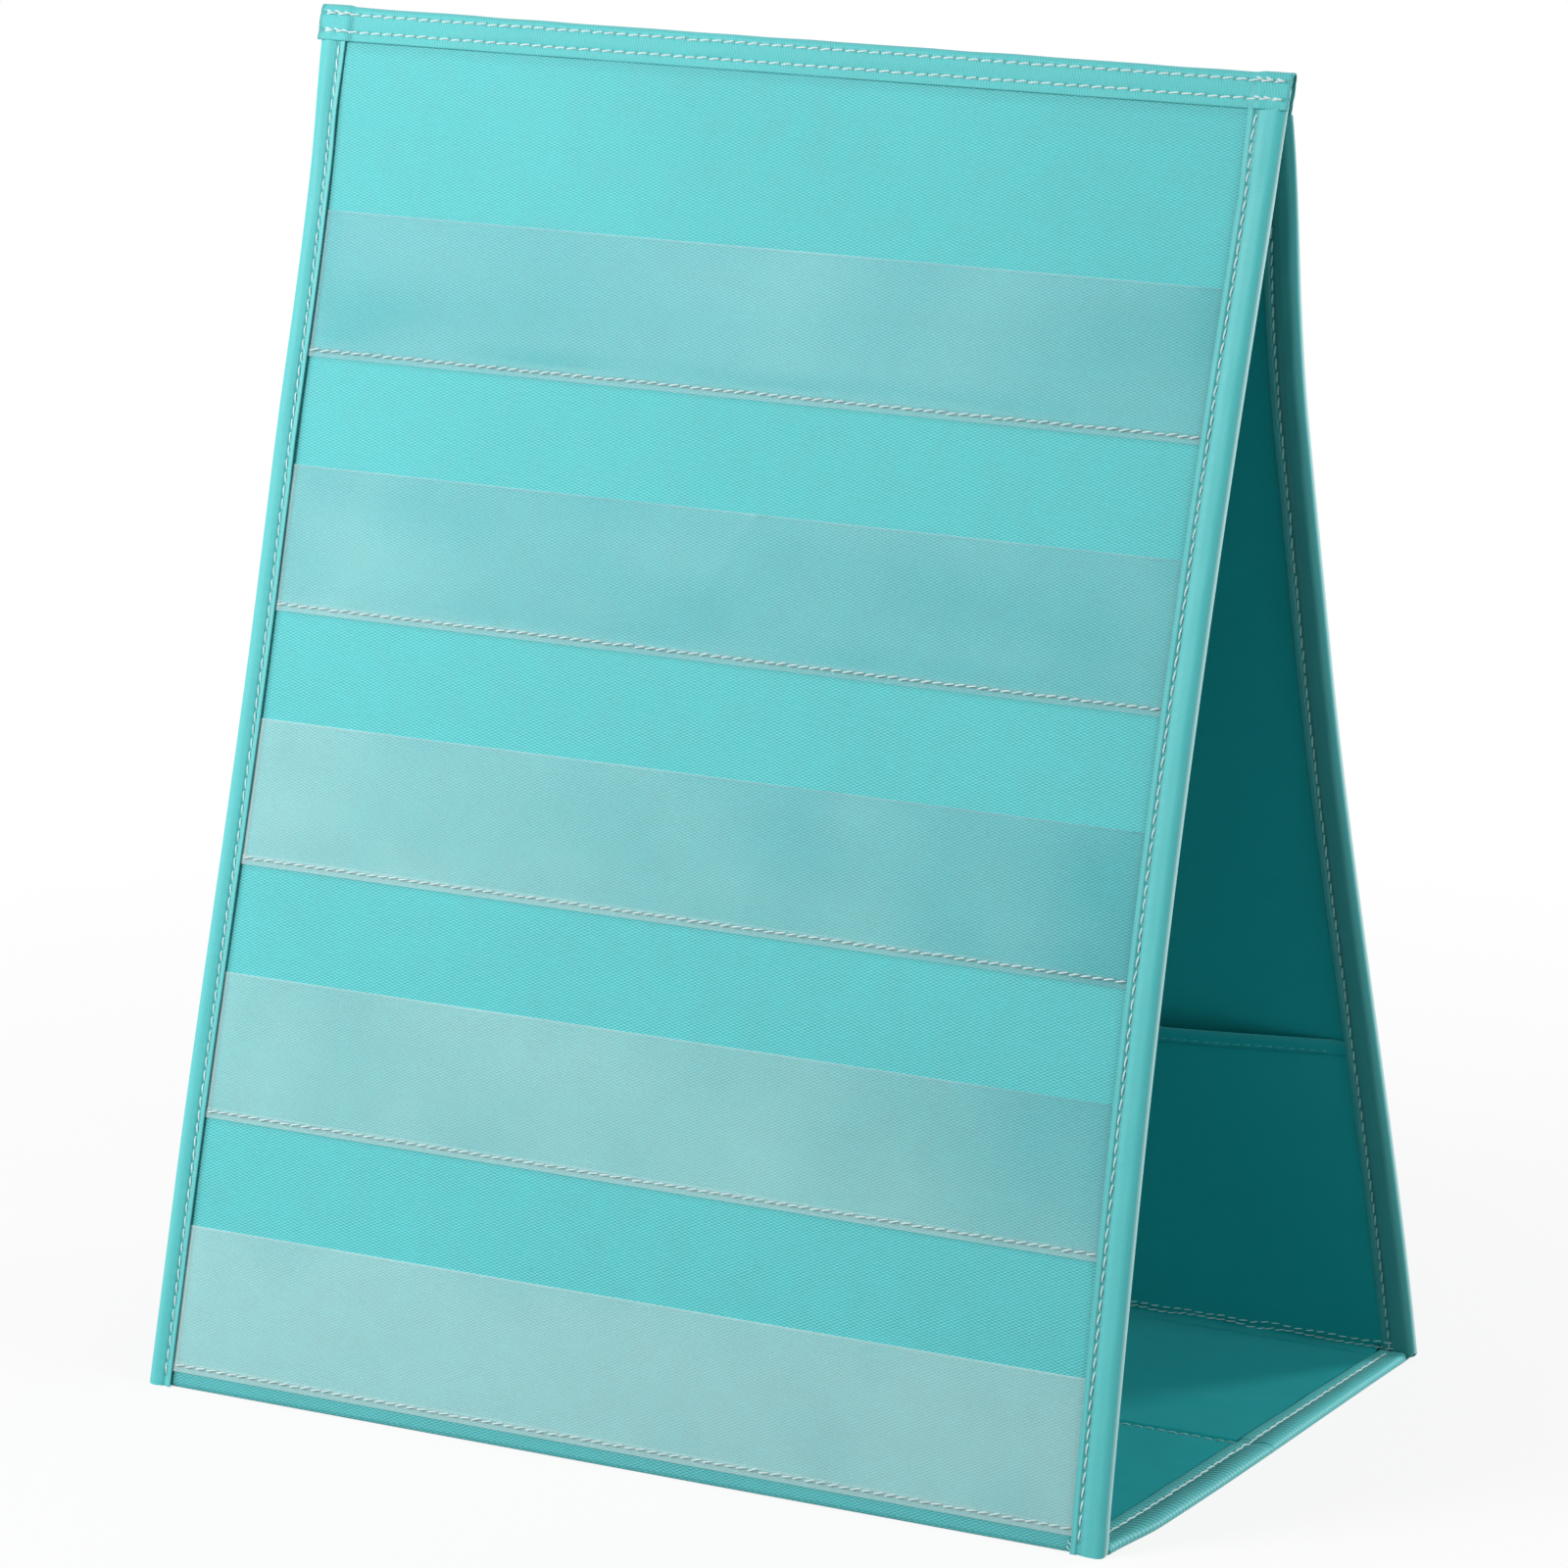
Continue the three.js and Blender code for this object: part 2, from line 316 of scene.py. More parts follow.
def woven(name, colour, spacing, angles, roughness, sheen, specular, ridge=0.05, contrast=0.16):
    """Cloth with two sets of fine ribs at the angles, and slow patches of shade."""
    shader = new_shader(name)
    flat = shader.cloth_coordinates()
    slow = shader.noise(flat, 70.0, 3.0)
    patches = shader.noise(flat, 9.0, 3.0)
    slub = shader.noise(flat, 1.3, 2.0)
    first, second = (shader.lines(flat, angle, spacing, distortion=0.3) for angle in angles)
    weave = shader.math("MULTIPLY", shader.math("ADD", first, second), 0.5)
    height = shader.math("ADD", weave, shader.math("MULTIPLY", slub, 0.5))
    tone = shader.math("MULTIPLY", weave, 0.52)
    for part, share in ((slow, 0.14), (patches, 0.18), (slub, 0.16)):
        tone = shader.math("ADD", tone, shader.math("MULTIPLY", part, share))
    dark = shade(colour, 1 - contrast)
    light = shade(colour, 1 + contrast)
    return shader.finish({
        "Base Color": shader.toned(shader.mix(tone, dark, light)),
        "Roughness": shader.ramp(patches, 0.2, 0.8, roughness - 0.05, roughness + 0.05),
        "Specular IOR Level": specular,
        "Sheen Weight": sheen,
        "Sheen Roughness": 0.5,
        "Sheen Tint": WHITE,
        "Normal": shader.bump(height, ridge),
    })


def thread_material(name, dark, light):
    """Two-ply thread: the plies wind round it."""
    shader = new_shader(name)
    flat = shader.cloth_coordinates()
    plies = shader.lines(flat, 38, 0.42)
    fuzz = shader.noise(flat, 0.3, 2.0)
    tone = shader.math("ADD", shader.math("MULTIPLY", plies, 0.6), shader.math("MULTIPLY", fuzz, 0.4))
    return shader.finish({
        "Base Color": shader.mix(tone, dark, light),
        "Roughness": 0.5,
        "Specular IOR Level": 0.4,
        "Sheen Weight": 0.25,
        "Normal": shader.bump(plies, 0.06),
    })


def board_material():
    """Grey pressed board with fibres."""
    shader = new_shader("board")
    spots = shader.noise(shader.cloth_coordinates(), 2.5, 4.0)
    return shader.finish({
        "Base Color": shader.mix(spots, (0.36, 0.36, 0.34, 1), (0.52, 0.52, 0.50, 1)),
        "Roughness": 0.85,
        "Normal": shader.bump(spots, 0.08),
    })


def film_material():
    """Clear film: haze is how much of it shows and tone how bright, both carried by the mesh; the tone
    paints the film's reflection.
    """
    shader = new_shader("clear_film")
    cloud = shader.noise(shader.cloth_coordinates(), 30.0, 1.0)
    tone = shader.math("ADD", shader.mark("tone"), shader.ramp(cloud, 0.3, 0.7, -0.06, 0.06))
    return shader.finish({
        "Base Color": shader.mix(tone, DARK_FILM, BRIGHT_FILM),
        "Alpha": shader.mark("haze"),
        "Roughness": shader.ramp(cloud, 0.3, 0.7, 0.22, 0.3),
        "Specular IOR Level": 0.5,
        "Normal": shader.bump(cloud, 0.2, 0.5),
    })


# Dull and bright film colours; the tone mixes them to paint the film's reflection
DARK_FILM = (0.06, 0.42, 0.50, 1)
BRIGHT_FILM = (0.80, 1.0, 1.0, 1)
TWILL_COLOUR = (0.085, 0.59, 0.61)
BINDING_COLOUR = (0.095, 0.58, 0.59)
LINING_COLOUR = (0.014, 0.43, 0.45)
DIAGONAL = (110, 64)
SQUARE = (0, 90)
TWILL = woven("twill", TWILL_COLOUR, 0.84, DIAGONAL, 0.55, 0.12, 0.5, ridge=0.11, contrast=0.5)
TWILL_TAPE = woven("twill_tape", BINDING_COLOUR, 0.84, DIAGONAL, 0.55, 0.12, 0.4, ridge=0.07, contrast=0.4)
BINDING = woven("binding", BINDING_COLOUR, 0.7, SQUARE, 0.5, 0.12, 0.4, ridge=0.025, contrast=0.12)
RIBBED = woven("ribbed_binding", BINDING_COLOUR, 0.6, SQUARE, 0.5, 0.1, 0.4, ridge=0.03, contrast=0.14)
LINING = woven("lining", LINING_COLOUR, 0.6, SQUARE, 0.45, 0.04, 0.3, ridge=0.02, contrast=0.12)
THREAD = thread_material("thread", (0.60, 0.88, 0.88, 1), (0.92, 1.0, 1.0, 1))
DARK_THREAD = thread_material("dark_thread", (0.02, 0.36, 0.38, 1), (0.05, 0.50, 0.52, 1))
MUTED_THREAD = thread_material("muted_thread", (0.32, 0.66, 0.65, 1), (0.60, 0.88, 0.86, 1))
BOARD_CORE = board_material()
FILM = film_material()


def add_mesh(name, points, faces, flat, material, marks=None):
    """A closed mesh from points in millimetres; flat holds each point's place on the uncut cloth, and
    marks holds further numbers for each point."""
    mesh = bpy.data.meshes.new(name)
    mesh.from_pydata((points * MM).tolist(), [], faces)
    builder = bmesh.new()
    builder.from_mesh(mesh)
    bmesh.ops.recalc_face_normals(builder, faces=builder.faces)
    builder.to_mesh(mesh)
    builder.free()
    corners = np.zeros(len(mesh.loops), np.int64)
    mesh.loops.foreach_get("vertex_index", corners)
    layer = mesh.uv_layers.new(name="cloth")
    layer.data.foreach_set("uv", (flat[corners] * MM).astype(np.float32).ravel())
    for mark, values in (marks or {}).items():
        mesh.attributes.new(mark, "FLOAT", "POINT").data.foreach_set("value", values.astype(np.float32))
    mesh.polygons.foreach_set("use_smooth", np.ones(len(mesh.polygons), bool))
    mesh.set_sharp_from_angle(angle=math.radians(50))
    mesh.materials.append(material)
    return new_object(name, mesh)


def shell(name, outer, inner, flat_x, flat_y, material, **marks):
    """A closed sheet between two grids of points; both sides take the same marks."""
    rows, columns = outer.shape[:2]
    count = rows * columns
    index = np.arange(count).reshape(rows, columns)
    face = np.stack([index[:-1, :-1], index[:-1, 1:], index[1:, 1:], index[1:, :-1]], -1).reshape(-1, 4)
    border = np.concatenate([index[0], index[1:, -1], index[-1, -2::-1], index[-2:0:-1, 0]])
    following = np.roll(border, -1)
    rim = np.stack([following, border, border + count, following + count], -1)
    faces = np.concatenate([face, face[:, ::-1] + count, rim]).tolist()
    points = np.concatenate([outer.reshape(-1, 3), inner.reshape(-1, 3)])
    flat = np.stack(np.broadcast_arrays(flat_x, flat_y), -1).reshape(-1, 2)
    both = {mark: np.tile(np.broadcast_to(grid, (rows, columns)).ravel(), 2) for mark, grid in marks.items()}
    return add_mesh(name, points, faces, np.concatenate([flat, flat]), material, both)


def attach(piece, slot, body, *nodes):
    """Hides the solids that the piece stands for and lets it ride on the body that carries it; given two
    bodies, it stays fixed where it is. slot, the piece's finish, is not used."""
    if nodes:
        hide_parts(*nodes)
    if isinstance(body, str):
        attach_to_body(piece, body)
    else:
        first, second, start, end = body
        tuple(v * MM for v in start)
        tuple(v * MM for v in end)
        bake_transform(piece)


def flatten(piece):
    """Gives the piece a mesh of its own."""
    anchor = tuple(REAR.place(0.0, 0.0, STORAGE_DEPTH) * MM)
    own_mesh(piece)


def declare(s):
    """Works out how far s runs, and keeps nothing."""
    np.ptp(s) * MM


def crossed(x, s):
    """Two runs of places as the columns and the rows of one grid."""
    return x[None], s[:, None]


def panel_sheet(panel, name, x, s, depth, wall, material, **marks):
    """A sheet along a panel, with its outer side at depth."""
    outer = panel.place(x, s, depth)
    inner = panel.place(x, s, depth + wall)
    return shell(name, outer, inner, x, s, material, **marks)


def run_length(a, b):
    """Distance run along a line of points."""
    return np.concatenate([[0], np.cumsum(np.hypot(np.diff(a), np.diff(b)))])


def swept(panel, x, y, z, offset):
    """Rows along x of a line seen end-on at the panel's foot, set off to its upper side. y is the line's
    distance from the middle of the base and z its height."""
    step_y = np.gradient(y)[:, None]
    step_z = np.gradient(z)[:, None]
    share = offset / np.hypot(step_y, step_z)
    return points_at(x, -panel.inward * (y[:, None] - share * step_z), z[:, None] + share * step_y)


def turned_corner(turn, start, corner, end):
    """A curve that leaves start and reaches end along the lines to the corner, as turn goes from 0 to 1."""
    return (1 - turn) ** 2 * start + 2 * turn * (1 - turn) * corner + turn**2 * end


MIDDLE_BEND = ("base_front", "base_rear", (0, -3, 0), (0, 3, 0))
FRONT_FOOT_BEND = ("front_panel", "base_front", (0, -103.5, 1.5), (0, -100.5, 0.2))
REAR_FOOT_BEND = ("base_rear", "rear_panel", (0, 100.5, 0.2), (0, 103.5, 1.5))
EDGES = {"left": -1, "right": 1}
FACES = {"outer": (0.0, -1), "inner": (PANEL_THICKNESS, 1)}


# Cloth faces of the panels
SEAM_DENT = 0.14
FOOT_CLEARANCE = 0.05
FOOT_START = 1.6
FOOT_CORNER = 1.2
FOOT_END = 99.95
LAYER_START = 2.2


def near_seams(s, half_width):
    return sum(hump(s, seam, half_width) for seam in SEAMS)


def face_relief(x, s, seed):
    """How far the face cloth stands out: slow unevenness, and dents and puckers along the seams."""
    slow = 0.07 * ripple(x, s, 90, seed)
    pucker = 0.05 * ripple(x, s, 5.5, seed + 1, stretch=4.0) * near_seams(s, 9)
    return (slow + pucker) * smooth(0, 8, s) - SEAM_DENT * near_seams(s, 2.6)


def face_painted_shade(x, s, top):
    """Painted shade on the face cloth: darker beside the bindings, below the top band, along the seams and
    at the foot."""
    sides = hump(x, FACE_LEFT, 2.2) + hump(x, FACE_RIGHT, 2.2)
    band_edge = hump(s, top - TOP_BAND_HEIGHT, 3.0)
    seams = 0.14 * near_seams(s + FILM_HEM, 1.6) + 0.3 * near_seams(s, 1.3)
    return -0.22 * sides - 0.16 * band_edge - seams - 0.2 * smooth(6.5, 3, s)


def foot_rows(panel, x):
    """The cloth's outer rows, inner rows and places from under the panel, round its foot, to its face."""
    corner_y = HALF_DEPTH - FACE_CLOTH_DEPTH / math.cos(panel.lean)
    start_y = corner_y - FOOT_CORNER
    end_z = FOOT_START * math.cos(panel.lean) - FACE_CLOTH_DEPTH * math.sin(panel.lean)
    end_y = corner_y - end_z * math.tan(panel.lean)
    turn = np.linspace(0, 1, 7)[:-1]
    y = np.concatenate([[FOOT_END, (FOOT_END + start_y) / 2], turned_corner(turn, start_y, corner_y, end_y)])
    z = np.concatenate([[FOOT_CLEARANCE] * 2, turned_corner(turn, FOOT_CLEARANCE, FOOT_CLEARANCE, end_z)])
    length = run_length(y, z)[:, None]
    return swept(panel, x, y, z, 0), swept(panel, x, y, z, CLOTH), length - length[-1]


def face_cloth(panel, top, seed):
    """The twill on the outer face, with the part that turns under the foot. At the rear panel that part is a
    piece of its own."""
    x, s = crossed(stations(-CORE_HALF, CORE_HALF, 2.2, centres=[FACE_LEFT, FACE_RIGHT], reach=4, fine=0.6),
                   stations(FOOT_START, top, 2.4, centres=SEAMS, reach=8, fine=0.8))
    depth = FACE_CLOTH_DEPTH - face_relief(x, s, seed)
    parts = (panel.place(x, s, depth), panel.place(x, s, depth + CLOTH), s)
    foot = foot_rows(panel, x)
    strip_name = f"{panel.prefix}_hinge_strip"
    nodes = [f"{panel.prefix}_face_fabric"]
    body = panel.body
    if panel is FRONT:
        parts = [np.concatenate(pair) for pair in zip(foot, parts)]
        nodes.append(strip_name)
        body = FRONT_FOOT_BEND
    else:
        outer, inner, flat = (np.concatenate([under, part[:1]]) for under, part in zip(foot, parts))
        attach(shell(strip_name, outer, inner, x, flat, TWILL), "twill_fabric", REAR_FOOT_BEND, strip_name)
    outer, inner, s = parts
    tone = face_painted_shade(x, s, panel.length)
    cloth = shell(f"{panel.prefix}_face_cloth", outer, inner, x, s, TWILL, tone=tone)
    attach(cloth, "twill_fabric", body, *nodes)
    declare(s)


def board_slab(panel, top):
    """The stiffening board, shaped as its cloth is."""
    x, s = crossed(stations(-CORE_HALF + BOARD_INSET, CORE_HALF - BOARD_INSET, 8.0),
                   stations(LAYER_START + BOARD_INSET, top, 8.0))
    slab = panel_sheet(panel, f"{panel.prefix}_board_slab", x, s, BOARD_DEPTH, BOARD, BOARD_CORE)
    attach(slab, "board_core", panel.body, f"{panel.prefix}_board")


def lining_cloth(panel, top, seed):
    x, s = crossed(stations(-CORE_HALF, CORE_HALF, 2.5), stations(LAYER_START, top, 2.5))
    relief = 0.14 * ripple(x, s, 80, seed) + 0.04 * ripple(x, s, 22, seed + 1)
    depth = LINING_DEPTH + relief * smooth(0, 12, s)
    cloth = panel_sheet(panel, f"{panel.prefix}_lining_cloth", x, s, depth, CLOTH, LINING)
    attach(cloth, "lining_fabric", panel.body, f"{panel.prefix}_lining")
    declare(s)


# Bindings: a tape folded over an edge and sewn through
TAPE = 0.42
BINDING_REACH = {"left": 8.3, "right": 10.5}
FACE_LEFT = BINDING_REACH["left"] - HALF
FACE_RIGHT = HALF - BINDING_REACH["right"]
BINDING_STITCH = {"left": 6.2, "right": 8.1}
BINDING_PITCH = 4.0
BINDING_CORNER = {"front": 1.0, "rear": 4.5}
# Painted shade on the inner leg of each panel's side bindings
INNER_SHADE = {"front": 0.0, "rear": -0.35}
ROW_START = 3.6
ROW_END = {"front": FRONT_LENGTH - TOP_BAND_HEIGHT - 1.0, "rear": REAR_LENGTH - 1.4}
FOOT_FADE = 22.0
OUTER_CUT = 0.12
INNER_CUT = 0.6
CUT_FADE = 7.0
BASE_BINDING_REACH = 9.4
BASE_BINDING_UNDER = 8.0
BASE_BINDING_INNER = 150.6
BASE_STITCH = 6.2
BASE_PITCH = 4.7
WRAP_END = 101.5
RIB_PITCH = 2.0
RIB_SLANT = 0.25
RIB_SWAY = 0.8 / math.tau
RIB_SWAY_LENGTH = 17.0


def tape_section(reach_out, reach_in, thickness, fine_at):
    """The tape seen end-on, from the edge of its outer leg round to the edge of its inner leg:
    q, n, the direction out of the tape there, the distance run along the tape and the reach of the leg."""
    radius = thickness / 2
    leg_out, leg_in = (stations(radius, reach, 0.7, centres=[*fine_at, reach], reach=1.6, fine=0.14)
                       for reach in (reach_out, reach_in))
    angle = np.linspace(0, np.pi, 13)[1:-1]
    q = np.concatenate([leg_out[::-1], radius - radius * np.sin(angle), leg_in])
    n = np.concatenate([0 * leg_out, radius - radius * np.cos(angle), 0 * leg_in + thickness])
    out_q = np.concatenate([0 * leg_out, -np.sin(angle), 0 * leg_in])
    out_n = np.concatenate([0 * leg_out - 1, -np.cos(angle), 0 * leg_in + 1])
    return q, n, out_q, out_n, run_length(q, n), np.where(n < radius, reach_out, reach_in)


def rolled_edge(q, reach):
    """How much each side of the tape draws in at its cut edge, so that the edge is round."""
    half = TAPE / 2
    t = np.clip((q - reach + half) / half, 0, 0.97)
    return half * (1 - np.sqrt(1 - t * t))


def band(name, place, along, section, relief, tone, material):
    """A folded tape laid along an edge. place gives the point at q, along, n."""
    q, n, out_q, out_n, run, reach = (value[None] for value in section)
    along = along[:, None]
    lift = relief(q, along, n)
    edge = rolled_edge(q, reach)
    high = lift - edge
    low = lift - TAPE + edge
    outer = place(q + out_q * high, along, n + out_n * high)
    inner = place(q + out_q * low, along, n + out_n * low)
    return shell(name, outer, inner, run, along, material, tone=tone(q, along, n, reach))


def wave(turns):
    """1 at whole turns, 0 half-way between them."""
    return 0.5 + 0.5 * np.cos(math.tau * turns)


def needle_holes(along, start, end):
    """1 where the thread of a binding's row goes through the cloth, falling fast to 0 between."""
    step = (end - start) / round((end - start) / BINDING_PITCH)
    return wave((along - start) / step) ** 5


def spread(s, top):
    """How much wider a side binding gets towards its upper end."""
    return 1 + 0.12 * smooth(top - 32, top - 4, s)


def side_binding(panel, label, top, seed):
    """The tape over one upright edge of a panel, cut level at the foot."""
    stitch = BINDING_STITCH[label]
    corner = BINDING_CORNER[panel.prefix]

    def place(q, s, n):
        rounding = corner - np.sqrt(corner**2 - np.clip(corner - q, 0, corner) ** 2)
        height = np.where(n > PANEL_THICKNESS / 2, INNER_CUT, OUTER_CUT)
        rise = panel.foot_slant(height, n) + rounding
        return panel.place(EDGES[label] * (HALF - q * spread(s, top)), s + rise * np.exp(-s / CUT_FADE), n)

    def relief(q, s, n):
        """It swells between the edge and its stitches, and its folded-under part stands up beside them.
        Its inner leg lies flat at the foot, where the base folds against it."""
        pull = wave(s / BINDING_PITCH)
        pillow = 0.5 * smooth(0.6, 2.6, q) * smooth(stitch - 0.2, stitch - 3.0, q)
        groove = 0.22 * hump(q, stitch, 1.0) * (0.65 + 0.35 * pull)
        ridge = 0.26 * smooth(stitch + 0.3, stitch + 0.9, q)
        pucker = 0.06 * pull * hump(q, stitch - 1.6, 1.8)
        slow = 0.06 * ripple(q * 3, s, 26, seed) * smooth(0.5, 3, q)
        pressed = np.where(n > PANEL_THICKNESS / 2, smooth(0, FOOT_FADE, s), 1.0)
        return (pillow + ridge + slow) * pressed - groove - pucker

    def tone(q, s, n, reach):
        """A painted highlight along the fold and on the strip beside the stitches, and painted shade at the
        needle holes, beside the stitches, at the cut edge and on the rear panel's inner leg."""
        depth = np.where(n > PANEL_THICKNESS / 2, 0.5, 1.0)
        holes = depth * needle_holes(s, ROW_START, ROW_END[panel.prefix]) * hump(q, stitch, 1.0)
        sewn = 0.45 * holes + 0.16 * hump(q, stitch - 0.75, 0.7) - 0.05 * hump(q, stitch + 1.2, 0.8)
        inner = INNER_SHADE[panel.prefix] * smooth(2.4, 3.4, n)
        return 0.38 * hump(q, 0, 0.45) - sewn - 0.3 * smooth(reach - 0.35, reach, q) + inner

    section = tape_section(BINDING_REACH[label], BINDING_REACH[label], PANEL_THICKNESS, [stitch])
    name = f"{panel.prefix}_{label}_binding"
    piece = band(f"{name}_tape", place, stations(0, top, 0.66), section, relief, tone, BINDING)
    attach(piece, "binding_fabric", panel.body, name)


TOP_BAND_INNER = 11.4
TOP_ROWS = {"upper": 2.4, "lower": 7.6}
TOP_ROW_REACH = HALF - 1.2
BACK_SEWN = 9.5


def band_step(x):
    """How far the top band is raised where it covers the side bindings."""
    return 0.42 * smooth(148.5, 151.5, abs(x))


def top_band():
    """The tape over the top edge of the front panel."""
    def along_rows(q):
        return sum(hump(q, row, 0.9) for row in TOP_ROWS.values())

    def relief(q, x, n):
        step = band_step(x) + 0.12 * hump(abs(x), 151.2, 2.4) * smooth(2, 6, q)
        pillow = 0.2 * hump(q, 5.0, 2.6) + 0.12 * hump(q, 9.6, 1.6)
        slow = 0.07 * ripple(q * 3, x, 24, 31)
        return step + pillow - 0.15 * along_rows(q) * (0.6 + 0.4 * wave(x / BINDING_PITCH)) + slow

    def place(q, x, n):
        return FRONT.place(x, FRONT_LENGTH - q, n)

    def tone(q, x, n, reach):
        # Painted highlight along the fold; painted shade at the needle holes, where the band steps over the
        # side bindings, at its ends and at its cut edge
        holes = needle_holes(x, -TOP_ROW_REACH, TOP_ROW_REACH) * along_rows(q)
        step = hump(abs(x), 149.2, 1.4) * smooth(1, 3, q)
        ends = smooth(HALF - 0.8, HALF + 0.4, abs(x))
        edges = 0.35 * ends + 0.3 * smooth(reach - 0.4, reach, q)
        return 0.08 * hump(q, 0, 1.0) - 0.5 * holes - 0.2 * step - edges

    section = tape_section(TOP_BAND_HEIGHT, TOP_BAND_INNER, PANEL_THICKNESS, TOP_ROWS.values())
    x = stations(-HALF - 0.5, HALF + 0.5, 0.66)
    piece = band("top_band_tape", place, x, section, relief, tone, TWILL_TAPE)
    attach(piece, "binding_fabric", FRONT.body, "top_binding")


# Outward shift of the base's right edge: most near the front, where its corner is rounded
BASE_SHIFT_FRONT = 2.3
BASE_SHIFT_REAR = -1.0
BASE_CORNER = 2.3


def base_edge(side, y):
    """Half width of the base at y on one side."""
    if side < 0:
        return HALF + 0.6 * ripple(y, 0.0, 160, 77)
    flare = BASE_SHIFT_FRONT + (BASE_SHIFT_REAR - BASE_SHIFT_FRONT) * smooth(-60, 125, y)
    return HALF + flare - BASE_CORNER * smooth(-72, -101, y)


def base_binding_place(side, q, y, height):
    """The tape's point: its inner edge and its stitches stay straight while its outer edge flares."""
    edge = base_edge(side, y)
    widening = (edge - BASE_BINDING_INNER) / BASE_BINDING_REACH
    return points_at(side * (edge - q * widening), y, height)


def ribs(q, y):
    """Lines between the ribs of the base's tape, and how strong they are at y."""
    line = wave((y + RIB_SLANT * q) / RIB_PITCH + RIB_SWAY * np.sin(y / RIB_SWAY_LENGTH))
    across = 1 - 0.4 * smooth(BASE_STITCH, BASE_STITCH + 1, q)
    return line, across * (1 - 0.6 * smooth(-40, 60, y))


def base_binding(label, seed):
    """The ribbed tape over one side edge of the base, which crosses the middle fold, and the short end
    of it that meets the front panel's foot."""
    def relief(q, y, n):
        pillow = 0.45 * smooth(0.8, 2.6, q) * smooth(6.0, 3.6, q)
        inner = 0.2 * smooth(6.8, 7.8, q)
        groove = 0.2 * hump(q, BASE_STITCH, 0.9)
        fold = 0.5 * hump(y, 0, 3.0) * (n < BASE_THICKNESS / 2)
        slow = 0.08 * ripple(q * 3, y, 24, seed)
        swell = (pillow + inner + slow) * smooth(FOOT_END, FOOT_END - FOOT_FADE, abs(y))
        under_groove = 0.27 * hump(q, BASE_STITCH, 1.1)
        line, strength = ribs(q, y)
        sunk = 0.3 * line * strength * smooth(1.0, 3.4, q)
        return np.where(n > BASE_THICKNESS * 0.7, -under_groove, swell - groove - sunk - fold)

    def tone(q, y, n, reach):
        # Painted shade in the lines between the ribs and a painted highlight on the ribs, with painted shade
        # beside the stitches and at the cut edge
        line, strength = ribs(q, y)
        ribbed = (0.24 - 0.85 * line) * strength * (0.45 + 0.55 * smooth(1.0, 3.4, q))
        return ribbed - 0.2 * hump(q, BASE_STITCH - 0.7, 0.8) - 0.25 * smooth(reach - 0.35, reach, q)

    def place(q, y, n):
        return base_binding_place(EDGES[label], q, y, BASE_THICKNESS - n)

    def place_end(q, y, n):
        closing = np.sqrt(np.clip((y + WRAP_END) / 0.9, 0.001, 1))
        height = BASE_THICKNESS / 2 + (BASE_THICKNESS / 2 - n) * closing
        return base_binding_place(EDGES[label], q, y, height)

    section = tape_section(BASE_BINDING_REACH, BASE_BINDING_UNDER, BASE_THICKNESS, [BASE_STITCH])
    start = -FOOT_END + 0.1
    name = f"base_{label}_binding"
    nodes = [f"base_{half}_{label}_binding" for half in ("front", "rear")]
    piece = band(f"{name}_tape", place, stations(start, -start, 0.42), section, relief, tone, RIBBED)
    attach(piece, "binding_fabric", MIDDLE_BEND, *nodes)
    piece = band(f"{name}_end", place_end, stations(-WRAP_END, start, 0.3), section, relief, tone, RIBBED)
    attach(piece, "binding_fabric", FRONT.body)


# Base cloths
BASE_TOP = 2.5
BASE_TOP_HALF = HALF - BASE_THICKNESS / 2 - 0.6
BASE_BOTTOM_HALF = HALF - BASE_BINDING_UNDER - 0.3
VALLEY = 0.7


def base_top_height(x, y):
    """Height of the top cloth: slow unevenness, one soft wrinkle, and the sewn valley at the middle."""
    free = smooth(153, 143, abs(x))
    slow = 0.16 * ripple(x, y, 70, 51) + 0.05 * ripple(x, y, 18, 52)
    wrinkle = 0.45 * hump(y - 0.35 * (x - 120), 30, 9) * hump(x, 122, 34)
    return BASE_TOP + (slow + wrinkle) * free * smooth(0, 9, abs(y)) - VALLEY * hump(y, 0, 2.4)


def base_cloths():
    """The lining on top of the base and the twill under it."""
    x, y = crossed(stations(-BASE_TOP_HALF, BASE_TOP_HALF, 2.2),
                   stations(-FOOT_END + 0.3, FOOT_END - 0.3, 1.8, centres=[0], reach=5, fine=0.3))
    height = base_top_height(x, y)
    top = shell("base_top_cloth", points_at(x, y, height), points_at(x, y, height - CLOTH), x, y, LINING)
    nodes = ["base_front_top_fabric", "base_rear_top_fabric", "mid_hinge_strip"]
    attach(top, "lining_fabric", MIDDLE_BEND, *nodes)
    declare(y)
    x, y = crossed(stations(-BASE_BOTTOM_HALF, BASE_BOTTOM_HALF, 2.5),
                   stations(-FOOT_END + 0.05, FOOT_END - 0.05, 2.0, centres=[0], reach=5, fine=0.4))
    height = 0.02 + 0.05 * (1 + ripple(x, y, 60, 61)) + 0.35 * hump(y, 0, 2.2)
    outer = points_at(x, y, height)
    bottom = shell("base_bottom_cloth", outer, points_at(x, y, height + CLOTH), x, y, TWILL)
    attach(bottom, "twill_fabric", MIDDLE_BEND, "base_front_bottom_fabric", "base_rear_bottom_fabric")
    declare(y)


# Cloth strips in the corners between the base and the linings
STRIP_START = 95.5
STRIP_TOP = 10.5
STRIP_HALF = 149.5
STRIP_FACE = 3.3
STRIP_CLOTH = 0.2
STRIP_ROWS = {"front": (6.0,), "rear": (4.9, 6.6)}


